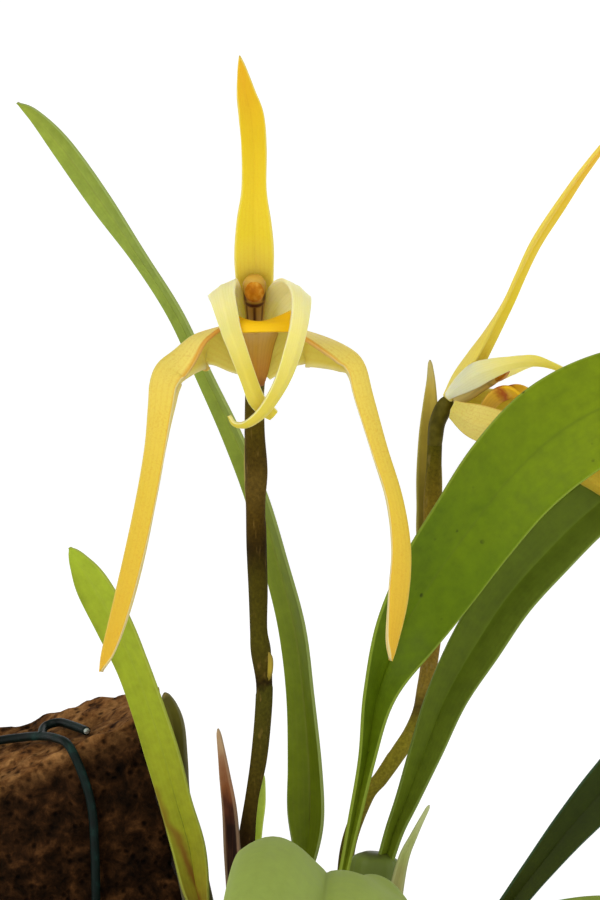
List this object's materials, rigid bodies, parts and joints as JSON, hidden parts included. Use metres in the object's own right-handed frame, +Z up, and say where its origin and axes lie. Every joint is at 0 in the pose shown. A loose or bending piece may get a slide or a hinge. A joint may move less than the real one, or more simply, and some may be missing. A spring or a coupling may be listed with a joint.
{
  "type": "potted orchid",
  "caption": "Potted orchid with strap-shaped leaves on short pseudobulbs, spidery yellow flowers on upright stalks, and a wired tree fern block in a plain round terracotta pot.",
  "frame": {"origin": "centre of the pot's underside", "axes": "+Z up along the pot's axis, -Y towards the side the first flower faces, +X to the right of it"},
  "size_m": [0.1722, 0.1835, 0.2687],
  "materials": {
    "terracotta": "matt fired clay",
    "bark": "rough bark",
    "tree_fern": "pitted fibre",
    "coated_wire": "smooth plastic coat",
    "root": "matt",
    "bulb": "satin plant skin",
    "leaf": "satin leaf",
    "dark_leaf": "satin leaf",
    "young_leaf": "satin leaf",
    "pale_leaf": "satin leaf",
    "stalk": "matt sheathed stalk",
    "dry_bract": "dry and papery",
    "green_bract": "satin leaf",
    "pale_bract": "dry and papery",
    "ovary": "satin",
    "sepal": "waxy petal",
    "petal": "waxy petal",
    "lip": "waxy petal",
    "column": "waxy petal",
    "anther": "waxy"
  },
  "bodies": {
    "root": {"pot": "terracotta", "potting_bark": "bark", "fern_block": "tree_fern", "tie_wire": "coated_wire", "rhizome_and_roots": "root", "pseudobulb_tall": "bulb", "pseudobulb_short": "bulb", "pseudobulb_broad": "bulb", "pseudobulb_second": "bulb", "pseudobulb_dark": "bulb", "pseudobulb_front": "bulb", "pseudobulb_side": "bulb", "leaf_tall": "leaf", "leaf_short": "young_leaf", "leaf_broad": "leaf", "leaf_second": "dark_leaf", "leaf_dark": "dark_leaf", "leaf_front": "pale_leaf", "leaf_side": "pale_leaf", "flower_stalk_1": "stalk", "flower_stalk_2": "stalk", "stalk_bract_brown": "dry_bract", "stalk_bract_green": "green_bract", "short_leaf_sheath": "dry_bract", "second_leaf_bract": "pale_bract", "flower_bract_1": "pale_bract", "flower_bract_2": "pale_bract", "bloom_1_ovary": "ovary", "bloom_1_column": "column", "bloom_1_anther_cap": "anther", "bloom_1_dorsal_sepal": "sepal", "bloom_1_lip": "lip", "bloom_1_left_sepal": "sepal", "bloom_1_right_sepal": "sepal", "bloom_1_left_petal": "petal", "bloom_1_right_petal": "petal", "bloom_2_ovary": "ovary", "bloom_2_column": "column", "bloom_2_anther_cap": "anther", "bloom_2_dorsal_sepal": "sepal", "bloom_2_lip": "lip", "bloom_2_left_sepal": "sepal", "bloom_2_right_sepal": "sepal", "bloom_2_left_petal": "petal", "bloom_2_right_petal": "petal"}
  },
  "joints": []
}
